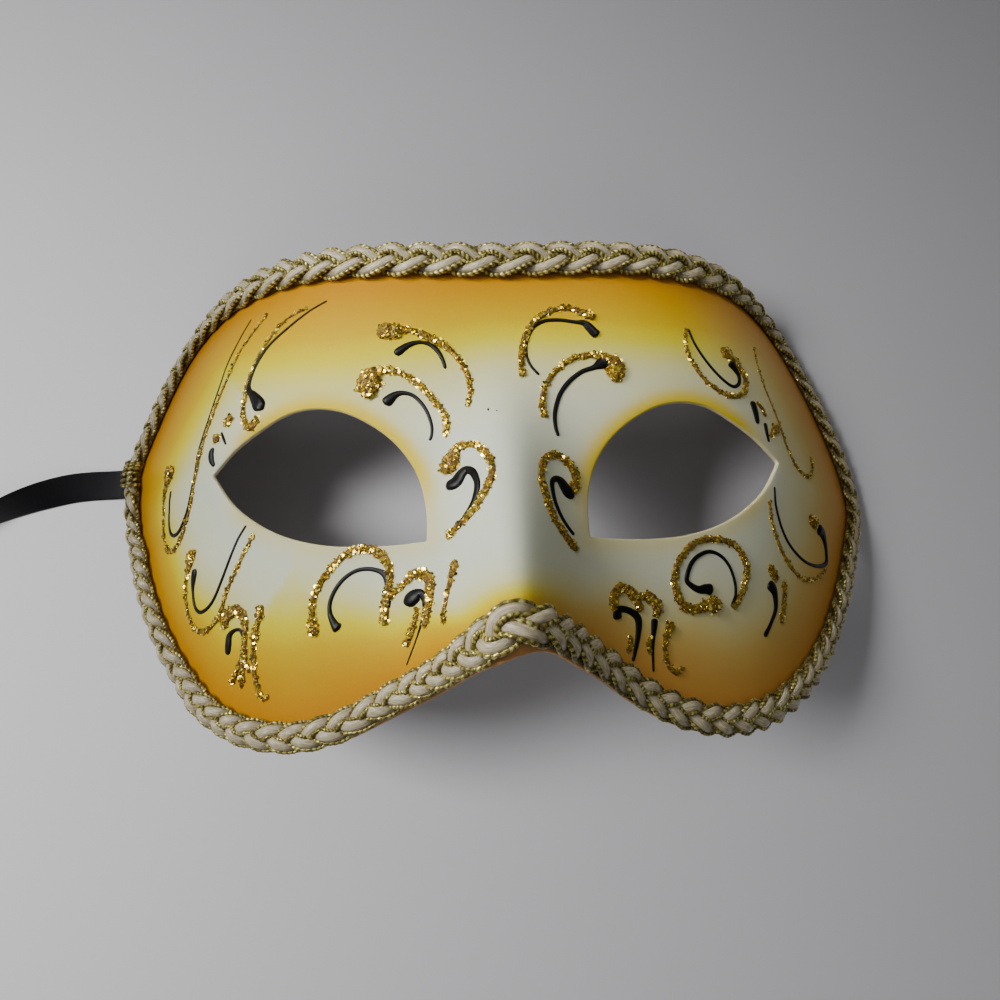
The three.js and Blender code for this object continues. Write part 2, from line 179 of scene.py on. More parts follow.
# Gold glitter strokes, given in the same way
GOLD_STROKES = [
    # forehead, left of the nose line
    [(-24.2, 34, 1.5), (-22.8, 35, 2.0), (-21, 34.9, 1.8), (-19.6, 35.2, 0.9), (-18, 35, 0.6),
     (-16, 34.3, 0.75), (-14, 33.1, 0.85), (-12, 31.9, 0.75), (-10, 30.2, 0.6), (-8.5, 28.3, 0.55),
     (-7.3, 26.2, 0.55), (-6.5, 24, 0.5), (-6.2, 21.5, 0.45), (-6.4, 19.2, 0.38), (-6.8, 17.2, 0.32)],
    [(-25.6, 20.6, 0.7), (-25.9, 22, 1.9), (-26.1, 23.8, 2.6), (-25.4, 25.4, 2.1), (-24, 26.4, 1.0),
     (-22, 26.4, 0.75), (-19.5, 25.4, 0.65), (-17, 23.6, 0.65), (-15, 21.5, 0.6), (-13.3, 19.3, 0.6),
     (-11.8, 17, 0.58), (-11, 15, 0.55), (-10.8, 13, 0.5), (-11.4, 11.4, 0.5)],
    # forehead, right of it
    [(4.1, 23.6, 0.65), (4, 25.2, 0.6), (4.1, 27.6, 0.6), (4.4, 30, 0.65), (5.1, 32.8, 0.6),
     (6.5, 35.4, 0.6), (8.4, 37.5, 0.6), (11, 38.9, 0.6), (13.8, 39.5, 0.6), (16.6, 38.8, 0.65),
     (18.8, 37.9, 0.9), (19.6, 37.2, 0.8)],
    [(7.9, 14.6, 0.6), (7.6, 16.2, 0.6), (7.6, 18.2, 0.55), (8.3, 21, 0.5), (9.4, 23.3, 0.5),
     (11.2, 25.5, 0.5), (13.6, 27.5, 0.55), (16.6, 28.7, 0.6), (19.2, 28.9, 0.8), (21, 28.2, 1.1),
     (22.8, 27.2, 1.8), (23.4, 25.8, 1.9), (23, 24.2, 1.3), (22.9, 23, 0.6)],
    # either side of the nose
    [(-10.8, 3.4, 1.3), (-10.6, 5, 1.6), (-9.9, 6.6, 1.3), (-9.1, 8, 0.9), (-7.6, 8.9, 0.7),
     (-5.6, 8.3, 0.65), (-3.9, 6.6, 0.65), (-3, 4.4, 0.65), (-3, 2, 0.62), (-4, -0.8, 0.6),
     (-5.5, -3.3, 0.55), (-7.3, -5.5, 0.5), (-9.4, -7.2, 0.5), (-10.6, -8, 0.7), (-11.3, -8.1, 0.6)],
    [(11.9, -0.6, 0.7), (12.6, 0.4, 0.8), (12.9, 2.4, 0.75), (12.3, 4.6, 0.75), (10.9, 6, 0.75),
     (9.2, 6.7, 0.7), (7.6, 6.1, 0.7), (6.4, 4.2, 0.7), (5.9, 1, 0.68), (6.5, -2.4, 0.65), (7.5, -5.8, 0.65),
     (8.9, -8.3, 0.65), (10.6, -10.4, 0.7), (11.9, -11.8, 0.6)],
    # left cheek
    [(-36.2, -25, 1.0), (-36.6, -23.4, 0.95), (-36.9, -21.2, 0.6), (-36.7, -18.6, 0.6), (-35.5, -15.6, 0.6),
     (-33.6, -12.9, 0.6), (-31, -10.5, 0.65), (-28.7, -9.5, 0.68), (-26.5, -9.2, 0.7), (-24.2, -10.1, 0.8),
     (-22.6, -11.8, 0.8), (-21.9, -14.2, 0.75), (-22.1, -17, 0.6), (-22.6, -20, 0.75), (-22.9, -22.4, 0.85),
     (-23, -23.4, 0.6)],
    [(-22.4, -18.6, 0.5), (-20.8, -17.6, 0.6), (-18.6, -15.9, 0.6), (-16.8, -14.5, 0.8), (-15.2, -15, 0.95),
     (-14.3, -16.8, 0.85), (-14.4, -19.2, 0.7), (-15, -21.8, 0.6), (-15.5, -24.4, 0.5)],
    [(-16.5, -20.8, 0.4), (-17.1, -22.8, 0.5), (-17.7, -24.8, 0.5), (-18.5, -26.6, 0.6),
     (-18.9, -27.5, 0.5)],
    [(-9.8, -13, 0.5), (-10.1, -14.4, 0.62), (-10.6, -16.2, 0.5), (-11.2, -18.6, 0.38), (-11.8, -21.2, 0.33),
     (-12.1, -23, 0.35), (-11.8, -23.8, 0.4)],
    [(-55.8, -22.8, 0.9), (-55.4, -20.8, 0.9), (-53.8, -19.5, 1.1), (-52, -19.8, 0.9), (-51, -21.6, 0.7),
     (-50.8, -24.6, 0.55), (-51, -28, 0.55), (-51.2, -31, 0.55), (-51.4, -34.2, 0.45)],
    [(-50.9, -26.4, 0.35), (-52, -29.6, 0.4), (-53.2, -32.4, 0.6), (-53.7, -33.3, 0.5)],
    [(-50.9, -27.5, 0.3), (-50, -30.4, 0.4), (-49.9, -31.4, 0.3)],
    [(-47.6, -18.6, 0.7), (-47.7, -20.4, 0.85), (-48.2, -22.6, 0.5), (-48.6, -24.4, 0.85),
     (-48.9, -26.4, 0.5), (-48.8, -29.4, 0.5), (-48.4, -32.4, 0.5), (-47.5, -34.8, 0.5),
     (-46.4, -36, 0.55), (-45.5, -35.7, 0.45)],
    # right cheek
    [(18.6, -22.4, 0.6), (18.5, -20.6, 0.8), (19.4, -18.8, 0.9), (21, -18.3, 0.95), (22.6, -19.2, 0.95),
     (23.6, -21, 0.8), (23.8, -22.8, 0.5)],
    [(24.3, -20.3, 0.6), (25.6, -19.7, 0.9), (27, -20.5, 1.0), (27.5, -22, 0.9), (27.2, -23.8, 0.6)],
    [(21.6, -27, 0.35), (21.2, -28.6, 0.55), (20.7, -29.8, 0.5)],
    [(25.5, -27.2, 0.35), (25.2, -28.8, 0.5), (25, -30, 0.45)],
    [(30.3, -24.8, 0.9), (29.8, -25.6, 1.0), (29, -27, 0.55), (28.5, -29, 0.5), (28.5, -31.2, 0.5),
     (29.2, -33, 0.5), (30.5, -33.9, 0.5), (31.8, -32.9, 0.45)],
    [(44, -22.1, 0.6), (45.6, -20.6, 0.6), (47.2, -18, 0.62), (48.2, -15, 0.62), (47.9, -12.3, 0.62),
     (46, -10, 0.62), (43, -8.9, 0.62), (39.5, -8.8, 0.62), (36, -10, 0.62), (33, -13, 0.62),
     (31.7, -16.6, 0.65), (32, -19.7, 0.7), (33.4, -21.9, 0.8), (35.8, -22.3, 0.85), (38, -21.8, 1.2),
     (39.8, -21.5, 1.7), (41, -20.9, 1.0)],
    [(54, -13.6, 0.7), (55, -15, 0.85), (56, -16.8, 0.6)],
    [(57.9, -16.8, 0.6), (57.8, -19.5, 0.6), (57, -22.6, 0.55), (56.3, -25.4, 0.45)],
    # right temple
    [(49.6, 34.2, 0.9), (50, 32.9, 1.3), (51.5, 32, 1.0), (53, 30.4, 0.7), (54.2, 28, 0.6), (54, 25.4, 0.55),
     (52.2, 23.2, 0.55), (48.8, 22.4, 0.55), (45.4, 23.6, 0.5), (42.6, 25.8, 0.45), (40.4, 29.3, 0.45),
     (39.5, 33.4, 0.4), (40.3, 37.4, 0.35)],
    [(56.4, 22.2, 0.4), (57.8, 21, 0.5), (58.4, 19.2, 0.45)],
    [(61.8, 17.8, 0.9), (61, 16.8, 1.0), (59.6, 15.4, 0.6), (58.7, 14.4, 0.4)],
    [(68.4, -2, 1.2), (69.4, -3.4, 1.4), (70.6, -4.2, 1.0)],
    [(55.9, 0.2, 0.3), (56, -3.9, 0.35), (57.3, -8.9, 0.38), (59.8, -13.2, 0.42), (62.9, -15.7, 0.45),
     (66, -16.4, 0.45), (69.8, -15.4, 0.42), (72.6, -13.8, 0.35)],
    [(59.9, 37.5, 0.2), (59.5, 33, 0.2), (59.9, 28, 0.22), (61.2, 23, 0.22), (62.6, 18, 0.25),
     (63.8, 13, 0.3), (66, 8.8, 0.4), (69.6, 6.9, 0.45), (72, 9.4, 0.4), (72.4, 12.5, 0.3)],
    # left temple
    [(-39.6, 43.4, 0.3), (-44.5, 41.6, 0.34), (-47.9, 38.2, 0.36), (-50, 35, 0.4), (-51.6, 31.4, 0.4),
     (-52.8, 28, 0.35), (-53.1, 25, 0.45), (-53.2, 22.6, 0.5), (-52.9, 20.2, 0.55), (-52.1, 18.4, 0.7),
     (-51.1, 17.6, 0.85), (-50.1, 18.6, 0.7), (-49.8, 19.8, 0.5)],
    [(-49.5, 44.7, 0.22), (-52.6, 41.2, 0.25), (-55.8, 36.9, 0.25), (-57.9, 31.9, 0.25), (-60.1, 26.2, 0.25),
     (-61.8, 21, 0.25), (-63.2, 16, 0.27), (-64.6, 10.4, 0.27), (-65.8, 4.6, 0.3), (-67.2, 0.2, 0.38),
     (-69.2, -4.1, 0.45), (-71.4, -5.5, 0.5), (-73.2, -4.6, 0.42), (-74.4, -1.8, 0.32), (-74.9, 2.4, 0.28),
     (-74.8, 6.2, 0.32), (-74, 9.6, 0.7), (-73, 12, 1.4), (-72.6, 13.6, 1.0)],
    [(-49.4, -4.6, 0.34), (-51.4, -7.8, 0.36), (-53.6, -11.9, 0.38), (-55.4, -15.6, 0.4),
     (-56.7, -19.4, 0.45), (-58.6, -21.9, 0.5), (-61.1, -23.1, 0.55), (-63.6, -22.2, 0.45),
     (-65.4, -19.4, 0.38), (-66.2, -15.6, 0.34), (-66.1, -11.9, 0.4), (-65.4, -9.2, 0.8),
     (-65, -7.4, 1.05), (-64.9, -6.2, 0.8)],
    [(-56.4, 21.6, 0.8), (-56.7, 20.2, 1.0), (-57.4, 19, 0.6)],
    [(-58.6, 17.4, 0.6), (-59.4, 16.9, 0.95), (-60, 15.9, 0.6)],
]

# Section of the strokes. Lumps are given as spots for each millimetre and their size.
STROKE_SKIN = 0.1
STROKE_TALLEST = 0.95
STROKE_RING_STEP = 0.22
STROKE_SIDES = 14
THINNEST_STROKE = 0.06
GLUE_LUMPS = [(0.9, 1), (2.3, 0.7)]
GLUE_CRUMBS = (3.1, 0.12)

# Glitter flakes on the gold strokes
FLAKES_PER_SQUARE = 4.4
FLAKE_SIZES = (0.16, 0.44)
FLAKE_THICKNESS = 0.04
FLAKE_LEAN = 0.9
FLAKE_SPREAD = 1.25
SEED = 7

# Three-strand plait: a satin core with a beaded gold cord along both its edges
PLAIT_PERIODS = [
    (0.00, 21), (0.09, 20.5), (0.14, 18), (0.20, 15.6), (0.45, 15.2), (0.50, 16), (0.55, 15.2), (0.80, 15.6),
    (0.86, 18), (0.91, 20.5), (1.00, 21),
]
PLAIT_SWINGS = [
    (0.00, 2.1), (0.08, 2.1), (0.16, 1.85), (0.30, 1.7), (0.44, 1.65), (0.49, 2.0), (0.51, 2.4), (0.54, 1.5),
    (0.57, 1.4), (0.64, 1.5), (0.72, 1.7), (0.84, 1.8), (0.92, 2.1), (1.00, 2.1),
]
PLAIT_TILTS = [(0.00, 0.28), (0.10, 0.24), (0.17, 0), (0.83, 0), (0.90, 0.24), (1.00, 0.28)]
PLAIT_LIFT = 0.65
PLAIT_MIDDLE = 1.7
STRAND_LEAN = 0.35
CORE_HALF_WIDTH = 0.95
CORE_HALF_THICKNESS = 0.58
CORE_RING_STEP = 0.55
CORE_SIDES = 12
CORD_RADII = [
    (0.00, 0.50), (0.10, 0.50), (0.18, 0.42), (0.44, 0.40), (0.49, 0.48), (0.53, 0.48), (0.57, 0.38),
    (0.80, 0.38), (0.90, 0.48), (1.00, 0.50),
]
CORD_PLACE = 1.2
BEADS_PER_PERIOD = 22
RINGS_PER_BEAD = 4
CORD_SIDES = 7
BEAD_HOLLOW = 0.74
BEAD_SWELL = 0.36
BED_MARGIN = 0.9
BED_MIDDLE = 0.6
BED_HALF_THICKNESS = 0.75
BED_SIDES = 12

# How unevenly the plait was drawn: spots for each millimetre, and size
PLAIT_SWAYS = [(0.045, 0.5), (0.16, 0.22)]
SWING_SPOTS = 0.11
SWING_UNEVENNESS = 0.1

# Gold cord bound over the braid's two ends where they meet at the left temple
BINDING_MIDDLE = 0.776
BINDING_LENGTH = 5.5
BINDING_TURNS = 6
BINDING_HALF_WIDTH = 3.2
BINDING_HALF_HEIGHT = 1.7
BINDING_LOWEST = 0.6
BINDING_CORD_RADIUS = 0.46
BINDING_BEADS = 60
BINDING_RINGS = 420

# Ribbon: x, y and height above the floor, then a coil wound on edge
RIBBON_WIDTH = 7
RIBBON_THICKNESS = 0.35
RIBBON_SIDES = 24
RIBBON_SQUARENESS = 0.5
RIBBON_END = [(-85.6, 13.6, 4.1), (-88.2, 13.7, 2.2)]
RIBBON_ROUTE = [
    (-90.6, 13.5, 0.9), (-94, 13.4, 0.6), (-98, 13.2, 0.8), (-102, 12.7, 1.2), (-106, 11.7, 1.75),
    (-110, 10.4, 2.35), (-114, 8.8, 2.85), (-118, 6.9, 3.25), (-122, 4.9, 3.45), (-126, 2.9, 3.6),
    (-130, 0.9, 3.6), (-133.5, -0.6, 3.6), (-137, -2.2, 3.6), (-140, -3.5, 3.6), (-143, -5, 3.6),
]
TWIST_START = 4
TWIST_END = 52
COIL_CENTRE = (-166, 31.5)
COIL_OUTER_TURN = 42
COIL_INNER_TURN = 31.5
COIL_START_ANGLE = -64
COIL_TURNS = 1.5
COIL_POINTS_PER_TURN = 16
COIL_GAP_BELOW = 0.1
ROUTE_SAMPLES = 4000

# Camera, on the face plan
CAMERA_PLACE = (-8.86, -27.2, 143.9)
CAMERA_LOOKS = (0.0529, 0.1810, -0.9821)
CAMERA_UP = (0.0244, 0.9829, 0.1825)
CAMERA_LENS = 27.73


def clamp(value, low, high):
    return max(low, min(high, value))


def smoothstep(value, low=0, high=1):
    """0 below low, 1 above high and a smooth step in between."""
    share = clamp((value - low) / (high - low), 0, 1)
    return share * share * (3 - 2 * share)


def read_off(table, turn):
    """The value that a table gives at a share of the way round."""
    for (start, first), (end, last) in zip(table, table[1:]):
        if turn <= end:
            return first + (last - first) * smoothstep(turn, start, end)
    return table[-1][1]


def smooth_line(points, closed=False):
    """A smooth line through points of any size, as a function of the share of the way along."""
    places = [Vector(p) for p in points]
    count = len(places)
    spans = count if closed else count - 1

    def corner(i):
        if closed:
            return places[i % count]
        if i < 0:
            return 2 * places[0] - places[1]
        if i >= count:
            return 2 * places[-1] - places[-2]
        return places[i]

    def place(share):
        along = share * spans
        i = clamp(math.floor(along), 0, spans - 1) if not closed else math.floor(along)
        w = along - i
        a, b, c, d = corner(i - 1), corner(i), corner(i + 1), corner(i + 2)
        return 0.5 * (2 * b + w * (c - a) + w * w * (2 * a - 5 * b + 4 * c - d)
                      + w ** 3 * (3 * b - a - 3 * c + d))

    return place


def nose_height(x, y):
    down = clamp((NOSE_ROOT_Y - y) / NOSE_LENGTH, 0, 1)
    spread = NOSE_SPREAD * (0.75 + 0.25 * down)
    return NOSE_HEIGHT * smoothstep(down) / math.cosh(x / spread)


def temple_trim(x, y):
    return read_off(LEFT_TEMPLE_TRIM, y) if x < 0 else 0


def face_height(x, y):
    outward = abs(x) / (HALF_SPAN - temple_trim(x, y))
    up = y / SWEEP_LENGTH
    sides = TEMPLE_DROP * outward ** TEMPLE_POWER * (1 + SWEEP_SLOPE * up + SWEEP_CURVE * up * up)
    brow = BROW_FALL * max(y, 0) ** 2
    cheek = CHEEK_RISE * max(-y, 0) ** 2
    return cheek - sides - brow + nose_height(x, y)


def face_point(x, y):
    return Vector((x, y, face_height(x, y)))


def face_normal(x, y):
    step = 0.05
    slope_x = (face_height(x + step, y) - face_height(x - step, y)) / (2 * step)
    slope_y = (face_height(x, y + step) - face_height(x, y - step)) / (2 * step)
    return Vector((-slope_x, -slope_y, 1)).normalized()


def in_frame(point):
    """A place on the face plan, in the part's frame."""
    return Vector((point.x, point.y + EYE_LINE_Y, point.z + BROW_HEIGHT)) * MM


def formed(flat):
    """Lays a flat pattern over the face: x and y on the plan, z along the face's normal."""
    return in_frame(face_point(flat.x, flat.y) + face_normal(flat.x, flat.y) * flat.z)


def bulge(x, middle, half_width):
    """A smooth bump of height 1 on x, as wide on each side of its middle as it is told."""
    away = clamp((x - middle) / half_width, -1, 1)
    return math.cos(away * math.pi / 2) ** 2


def left_drop(x, y):
    return LEFT_DROP * bulge(x, LEFT_DROP_MIDDLE_X, LEFT_DROP_HALF_WIDTH) if y < 0 else 0


LEFT_HALF = [(-x, y) for x, y in reversed(BRAID_LINE_RIGHT[1:-1])]
WHOLE_LINE = [(x + temple_trim(x, y), y - left_drop(x, y), 0) for x, y in BRAID_LINE_RIGHT + LEFT_HALF]
BRAID_LINE = smooth_line(WHOLE_LINE, closed=True)


def braid_frame(turn):
    """A place on the braid line with its outward and up directions."""
    step = 0.002
    here = BRAID_LINE(turn)
    before = BRAID_LINE(turn - step)
    after = BRAID_LINE(turn + step)
    along = face_point(after.x, after.y) - face_point(before.x, before.y)
    up = face_normal(here.x, here.y)
    return face_point(here.x, here.y), up.cross(along).normalized(), up


def rim_point(turn):
    point, outward, _ = braid_frame(turn)
    return point + outward * read_off(RIM_MARGINS, turn)


class Outline:
    """A closed line on the plan that tells how far outside it a point lies."""

    def __init__(self, points):
        self.points = [Vector((p.x, p.y, 0)) for p in points]
        area = sum(a.x * b.y - b.x * a.y for a, b in zip(self.points, self.points[1:] + self.points[:1]))
        self.side = 1 if area > 0 else -1
        self.tree = kdtree.KDTree(len(self.points))
        for i, point in enumerate(self.points):
            self.tree.insert(point, i)
        self.tree.balance()

    def outward(self, i):
        before = self.points[i - 1]
        after = self.points[(i + 1) % len(self.points)]
        along = (after - before).normalized()
        return Vector((along.y, -along.x, 0)) * self.side

    def nearest(self, point):
        """Distance outside the line, and the index of the nearest point on it."""
        found, i, _ = self.tree.find(Vector((point.x, point.y, 0)))
        away = Vector((point.x, point.y, 0)) - found
        side = 1 if away.dot(self.outward(i)) > 0 else -1
        return side * away.length, i


def eye_outline(side):
    over = smooth_line([(side * x, y, 0) for x, y in EYE_OVER])
    under = smooth_line([(side * x, y, 0) for x, y in EYE_UNDER])
    steps = 480
    return Outline([over(i / steps) for i in range(steps)] + [under(i / steps) for i in range(steps)])


RIM_STEPS = 3000
RIM = Outline([rim_point(i / RIM_STEPS) for i in range(RIM_STEPS)])
TRIM = Outline([BRAID_LINE(i / RIM_STEPS) for i in range(RIM_STEPS)])
EYES = [eye_outline(-1), eye_outline(1)]


def material_gap(point):
    """How far a point lies inside the mask's material, less the rounding of its edge."""
    gaps = [-RIM.nearest(point)[0]] + [eye.nearest(point)[0] for eye in EYES]
    return min(gaps) - EDGE_ROUNDING


def new_piece(name, bm, material, smooth=True):
    """Turns a bmesh into a piece of the mask that rides on its one body."""
    if smooth:
        bmesh.ops.recalc_face_normals(bm, faces=bm.faces[:])
    mesh = bpy.data.meshes.new(name)
    bm.to_mesh(mesh)
    bm.free()
    mesh.polygons.foreach_set("use_smooth", [smooth] * len(mesh.polygons))
    mesh.materials.append(material)
    piece = bpy.data.objects.new(name, mesh)
    bpy.context.scene.collection.objects.link(piece)
    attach(piece, "root")
    return piece


def sweep(bm, rings, sides, place, layer=None):
    """Bends a sheet round into a tube. place gives each corner from its shares along and around,
    and with a layer also the number that the corner keeps there."""
    made = bmesh.ops.create_grid(bm, x_segments=rings, y_segments=sides, size=0.5, calc_uvs=True)["verts"]
    for v in made:
        placed = place(v.co.x + 0.5, v.co.y + 0.5)
        if layer is None:
            v.co = placed
        else:
            v.co, v[layer] = placed
    bmesh.ops.remove_doubles(bm, verts=made, dist=1e-7)


def close_ends(bm):
    bmesh.ops.holes_fill(bm, edges=[e for e in bm.edges if e.is_boundary])


# Shader maths
class Wire:
    """A value in a material, which can be used in sums."""

    def __init__(self, finish, socket):
        self.finish = finish
        self.socket = socket

    def maths(self, operation, *values):
        settings = {"operation": operation}
        return self.finish.add("Math", settings, dict(enumerate(values)))

    def __add__(self, other):
        return self.maths("ADD", self, other)

    def __sub__(self, other):
        return self.maths("SUBTRACT", self, other)

    def __rsub__(self, other):
        return self.maths("SUBTRACT", other, self)

    def __mul__(self, other):
        return self.maths("MULTIPLY", self, other)

    def __truediv__(self, other):
        return self.maths("DIVIDE", self, other)

    def between(self, low, high):
        """0 below low, 1 above high and a smooth step in between."""
        settings = {"interpolation_type": "SMOOTHSTEP"}
        return self.finish.add("MapRange", settings, {0: self, 1: low, 2: high})

    __radd__ = __add__
    __rmul__ = __mul__


class Finish:
    """A material and the nodes that make it."""

    def __init__(self, name, **plain):
        self.material = bpy.data.materials.new(name)
        self.material.use_nodes = True
        self.tree = self.material.node_tree
        self.tree.nodes.clear()
        output = self.tree.nodes.new("ShaderNodeOutputMaterial")
        self.shader = self.tree.nodes.new("ShaderNodeBsdfPrincipled")
        self.tree.links.new(self.shader.outputs[0], output.inputs[0])
        for name, value in plain.items():
            self.feed(name.replace("_", " ").title().replace("Ior", "IOR"), value)

    def feed(self, name, value):
        self.plug(self.shader.inputs[name], value)

    def plug(self, socket, value):
        if isinstance(value, Wire):
            self.tree.links.new(value.socket, socket)
        elif isinstance(value, tuple) and len(value) == 3 and socket.type == "RGBA":
            socket.default_value = (*value, 1)
        else:
            socket.default_value = value

    def add(self, kind, settings=None, sockets=None, result=0):
        """Adds a node: its settings first, then the values or links of its sockets."""
        node = self.tree.nodes.new("ShaderNode" + kind)
        for name, value in (settings or {}).items():
            if name == "stops":
                self.set_stops(node.color_ramp, value)
            else:
                setattr(node, name, value)
        for name, value in (sockets or {}).items():
            self.plug(node.inputs[name], value)
        return Wire(self, node.outputs[result])

    def set_stops(self, ramp, stops):
        while len(ramp.elements) < len(stops):
            ramp.elements.new(0.5)
        for element, (place, colour) in zip(ramp.elements, stops):
            element.position = place
            element.color = (*colour, 1)

    def place(self):
        return self.add("TexCoord", result="Object")

    def kept(self, name):
        """A number kept on the piece's own corners."""
        return self.add("Attribute", {"attribute_name": name}, result="Fac")

    def axis(self, number):
        """A coordinate: 0 is across the face and 1 is up it."""
        return self.add("SeparateXYZ", None, {0: self.place()}, number)

    def cloud(self, scale, detail, roughness, where=None):
        sockets = {"Vector": where or self.place(), "Scale": scale, "Detail": detail, "Roughness": roughness}
        return self.add("TexNoise", None, sockets)

    def threads(self, across, along, detail, roughness):
        """A cloud drawn out on the piece's own UV map."""
        drawn = self.add("Mapping", None, {"Vector": self.add("UVMap"), "Scale": (across, along, 1)})
        return self.cloud(1.0, detail, roughness, drawn)

    def cells(self, scale, result):
        return self.add("TexVoronoi", None, {"Vector": self.place(), "Scale": scale}, result)

    def flecks(self, scale):
        """A different number in each small cell."""
        return self.add("SeparateColor", None, {0: self.cells(scale, "Color")})

    def ramp(self, value, stops):
        return self.add("ValToRGB", {"stops": stops}, {0: value})

    def blend(self, share, first, second, how="MIX"):
        settings = {"data_type": "RGBA", "blend_type": how}
        return self.add("Mix", settings, {0: share, 6: first, 7: second}, 2)

    def bump(self, height, distance, strength):
        return self.add("Bump", None, {"Height": height, "Distance": distance, "Strength": strength})


def painted_finish():
    """Matte paint: white at the middle, sprayed yellow and orange towards the braid, with painted shade on
    the right half, on grey pulp that is kept dark as painted shade.
    """
    paint = Finish("painted_papier_mache", specular_ior_level=0.06)
    grain = paint.cloud(2600, 2, 0.6)
    mottle = paint.cloud(45, 4, 0.55)
    reach = paint.kept("spray")
    spray = reach + (grain - 0.5) * 0.16 + (mottle - 0.5) * 0.12
    yellowed = paint.ramp(spray / 3, [
        (0.000, (0.62, 0.24, 0.001)),
        (0.100, (0.68, 0.305, 0.001)),
        (0.200, (0.73, 0.40, 0.001)),
        (0.283, (0.78, 0.51, 0.001)),
        (0.333, (0.84, 0.65, 0.004)),
        (0.377, (0.86, 0.73, 0.03)),
        (0.423, (0.86, 0.77, 0.13)),
        (0.467, (0.84, 0.77, 0.24)),
        (0.520, (0.83, 0.80, 0.38)),
        (0.667, (0.81, 0.83, 0.58)),
        (0.900, (0.76, 0.81, 0.64)),
    ])
    # painted shade: a duller, browner copy of the spray for the right half, which lies in shade
    shaded_right_spray = paint.ramp(spray / 3, [
        (0.000, (0.82, 0.35, 0.06)),
        (0.170, (0.82, 0.44, 0.10)),
        (0.280, (0.82, 0.54, 0.15)),
        (0.350, (0.82, 0.63, 0.24)),
        (0.420, (0.82, 0.71, 0.36)),
        (0.520, (0.82, 0.77, 0.46)),
        (0.667, (0.81, 0.82, 0.60)),
    ])
    # painted shade: the spray takes a browner copy of its colours on the right half, away from the lights,
    # but not on the brow near the nose line
    across = paint.axis(0)
    clear_brow = paint.axis(1).between(0.008, 0.028) * (1 - across.between(0.035, 0.062))
    sprayed = paint.blend(across.between(-0.003, 0.012) * (1 - clear_brow) * 0.9, yellowed, shaded_right_spray)
    halo = paint.blend(paint.kept("halo") + (grain - 0.5) * 0.1, sprayed, (0.86, 0.64, 0.03))
    dusty = paint.blend(mottle.between(0.45, 0.8) * 0.12, halo, (0.45, 0.42, 0.36), "MULTIPLY")
    past_braid = 1 - reach.between(0, 0.04)
    lipped = paint.blend(past_braid * 0.8, dusty, (0.88, 0.46, 0.18))
    # the cut edge shows under the paint, and the inside is bare grey pulp, kept dark as painted shade for
    # the inside of the mask
    depth = paint.kept("depth")
    inside = depth.between(1.2, 1.7)
    edge_colour = paint.blend(spray.between(0.1, 0.6), (0.84, 0.52, 0.27), (0.80, 0.70, 0.42))
    edge = paint.blend(depth.between(0.12, 0.4), lipped, edge_colour)
    pulp = paint.ramp(paint.cloud(160, 5, 0.65), [
        (0.30, (0.17, 0.155, 0.135)),
        (0.55, (0.27, 0.25, 0.22)),
        (0.75, (0.36, 0.34, 0.30)),
    ])
    paint.feed("Base Color", paint.blend(inside, edge, pulp))
    paint.feed("Roughness", 0.46 + depth.between(0.3, 1.5) * 0.4 + (grain - 0.5) * 0.12)
    fibres = paint.cloud(420, 3, 0.6)
    relief = grain * 0.25 + fibres * (0.35 + inside * 2.2) + mottle * (0.6 + inside * 3)
    paint.feed("Normal", paint.bump(relief, 0.00012, 0.6))
    return paint.material


def black_paint_finish():
    black = Finish("black_enamel", base_color=(0.004, 0.0035, 0.003), specular_ior_level=0.22)
    ripple = black.cloud(900, 2, 0.5)
    black.feed("Roughness", 0.22 + ripple * 0.3)
    black.feed("Normal", black.bump(ripple, 0.00008, 0.5))
    return black.material


def glitter_glue_finish():
    """Amber glue full of gold flecks."""
    glue = Finish("gold_glitter_glue")
    bright = glue.flecks(2600)
    glue.feed("Base Color", glue.ramp(bright, [
        (0.00, (0.07, 0.030, 0.002)),
        (0.35, (0.20, 0.095, 0.006)),
        (0.65, (0.42, 0.24, 0.016)),
        (1.00, (0.80, 0.56, 0.05)),
    ]))
    glue.feed("Metallic", bright.between(0.3, 0.9) * 0.8)
    glue.feed("Roughness", 0.5 - bright * 0.25)
    facets = glue.cells(2600, "Distance")
    lumps = glue.cloud(1400, 3, 0.6)
    glue.feed("Normal", glue.bump(facets + lumps * 0.8 + bright * 0.6, 0.0002, 0.9))
    return glue.material


def glitter_flake_finish():
    flake = Finish("gold_glitter_flake", metallic=1.0)
    tone = flake.flecks(1800)
    flake.feed("Base Color", flake.ramp(tone, [
        (0.00, (0.62, 0.36, 0.015)),
        (0.40, (0.95, 0.68, 0.06)),
        (1.00, (1.00, 0.92, 0.30)),
    ]))
    flake.feed("Roughness", 0.30 - tone * 0.18)
    return flake.material


def satin_core_finish():
    """Cream satin thread laid lengthwise."""
    satin = Finish("braid_satin", specular_ior_level=0.9)
    threads = satin.threads(420, 26, 3, 0.6)
    soil = satin.cloud(260, 3, 0.6)
    cream = satin.blend(threads.between(0.35, 0.65), (0.48, 0.385, 0.22), (0.84, 0.74, 0.50))
    # painted shade: the satin is darkened where the strand dips under the others
    under = 1 - satin.kept("over").between(0.1, 0.75)
    shaded_under = satin.blend(under * 0.75, cream, (0.16, 0.115, 0.05))
    satin.feed("Base Color", satin.blend(soil.between(0.5, 0.75) * 0.3, shaded_under, (0.30, 0.22, 0.09)))
    satin.feed("Roughness", 0.26 + threads * 0.2)
    satin.feed("Normal", satin.bump(threads, 0.00012, 0.8))
    return satin.material


